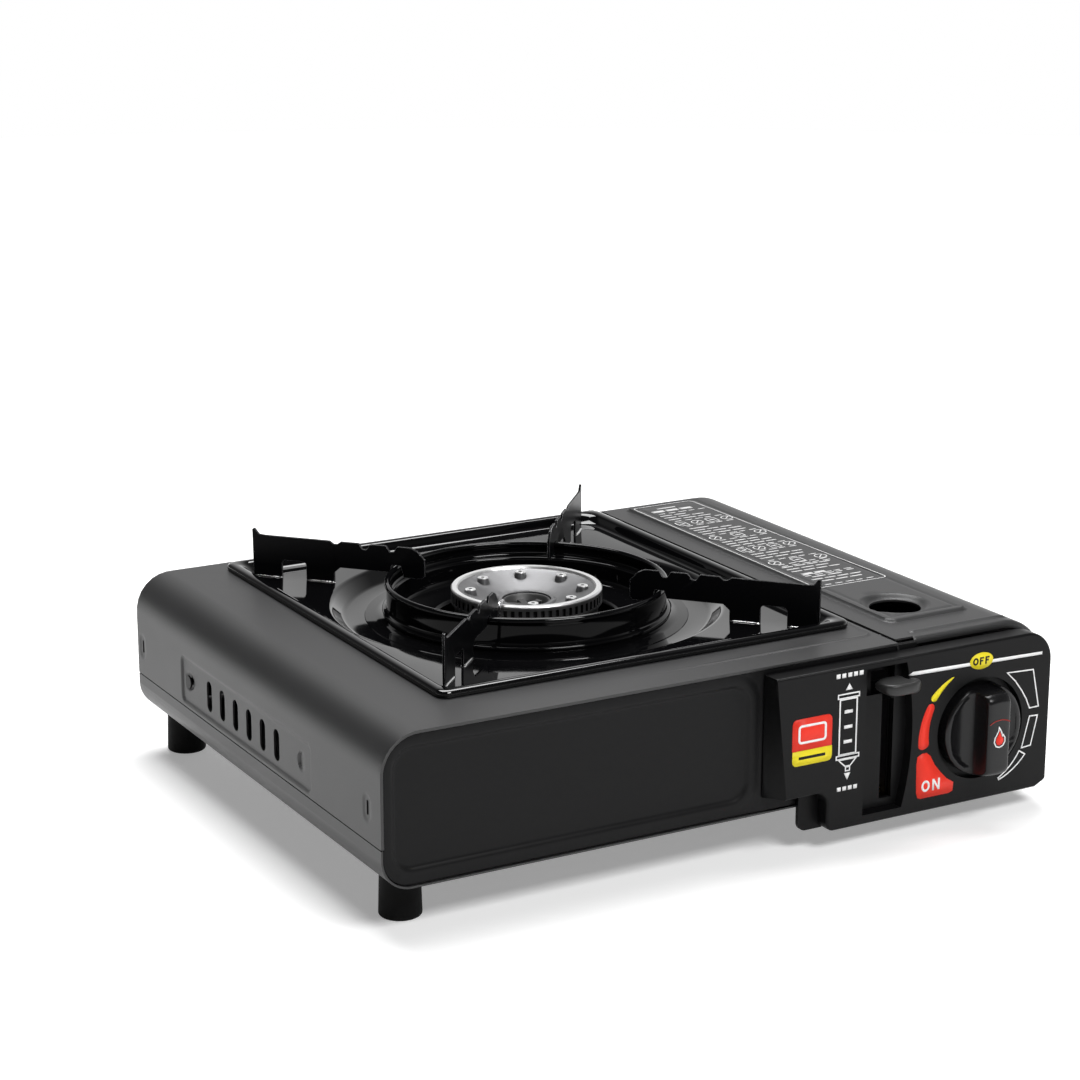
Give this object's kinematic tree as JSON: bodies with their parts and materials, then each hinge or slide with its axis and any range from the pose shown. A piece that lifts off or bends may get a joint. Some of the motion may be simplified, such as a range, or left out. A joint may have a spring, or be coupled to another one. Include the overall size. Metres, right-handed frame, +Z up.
{
  "type": "portable gas stove",
  "caption": "Low tabletop gas stove with a round burner, a removable drip tray, a hinged cartridge lid, a rotary igniter knob and a lock lever.",
  "frame": {"origin": "middle of the footprint of the stove with its knob, on the surface it stands on", "axes": "+X towards the cartridge bay, +Y from the control panel to the back, +Z up"},
  "size_m": [0.34, 0.2892, 0.11],
  "materials": {
    "body_enamel": "satin black powder coat on steel sheet",
    "gloss_enamel": "glossy black vitreous enamel",
    "burner_metal": "satin cast aluminium",
    "plated_steel": "zinc plated steel",
    "pin_steel": "bright drawn steel",
    "zinc_casting": "matt die casting",
    "brass_parts": "turned brass",
    "black_plastic": "satin moulded black plastic",
    "foot_rubber": "matt black rubber",
    "seal_rubber": "soft seal",
    "white_ceramic": "unglazed white ceramic",
    "lead_sleeve": "flexible sleeve",
    "screws": "blackened steel"
  },
  "bodies": {
    "stove_body": {"body_shell": "body_enamel", "front_panel": "body_enamel", "back_panel": "body_enamel", "base_pan": "body_enamel", "partition": "body_enamel", "hinge_bracket_front": "body_enamel", "hinge_bracket_rear": "body_enamel", "burner_head": "burner_metal", "burner_bowl": "burner_metal", "mixing_tube": "burner_metal", "cartridge_cradle": "plated_steel", "push_bar_guides": "plated_steel", "lever_bracket": "plated_steel", "regulator_bracket": "plated_steel", "jet_bracket": "plated_steel", "burner_bracket": "plated_steel", "heat_shield": "plated_steel", "electrode_bracket": "plated_steel", "flame_spreader": "plated_steel", "hinge_pin_front": "pin_steel", "hinge_pin_rear": "pin_steel", "lever_pin": "pin_steel", "electrode": "pin_steel", "valve_block": "zinc_casting", "regulator_body": "zinc_casting", "regulator_cover": "zinc_casting", "gas_jet": "brass_parts", "gas_tube": "brass_parts", "inlet_nozzle": "brass_parts", "control_panel": "black_plastic", "piezo_igniter": "black_plastic", "foot_front_left": "foot_rubber", "foot_rear_left": "foot_rubber", "foot_front_right": "foot_rubber", "foot_rear_right": "foot_rubber", "inlet_seal": "seal_rubber", "electrode_insulator": "white_ceramic", "igniter_lead": "lead_sleeve", "foot_screws": "screws", "body_screws": "screws"},
    "lid": {"cartridge_lid": "body_enamel"},
    "knob": {"control_knob": "black_plastic", "valve_stem": "brass_parts", "igniter_cam": "plated_steel"},
    "lever": {"lock_lever": "plated_steel", "lever_tab": "black_plastic", "drive_pin": "pin_steel"},
    "pusher": {"push_bar": "plated_steel", "pusher_plate": "plated_steel"},
    "pan_set": {"drip_tray": "gloss_enamel", "burner_ring": "gloss_enamel", "pan_support_rear_right": "gloss_enamel", "pan_support_rear_left": "gloss_enamel", "pan_support_front_left": "gloss_enamel", "pan_support_front_right": "gloss_enamel"}
  },
  "joints": [
    {"name": "lid_hinge", "type": "hinge", "parent": "stove_body", "child": "lid", "pos_m": [0.09, 0.0131, 0.0852], "axis": [0, -1, 0], "range_deg": [0, 90]},
    {"name": "knob_turn", "type": "hinge", "parent": "stove_body", "child": "knob", "pos_m": [0.1254, -0.1304, 0.0442], "axis": [0, -1, 0], "range_deg": [0, 130]},
    {"name": "lever_swing", "type": "hinge", "parent": "stove_body", "child": "lever", "pos_m": [0.0772, -0.0714, 0.04705], "axis": [1, 0, 0], "range_deg": [0, 45]},
    {"name": "pusher_slide", "type": "slide", "parent": "stove_body", "child": "pusher", "axis": [0, -1, 0], "range_m": [0, 0.00788]},
    {"name": "pan_set_lift", "type": "slide", "parent": "stove_body", "child": "pan_set", "axis": [0, 0, 1], "range_m": [0, 0.04]}
  ],
  "couplings": [
    {"joint": "pusher_slide", "follows": "lever_swing", "m_per_rad": 0.010037}
  ]
}
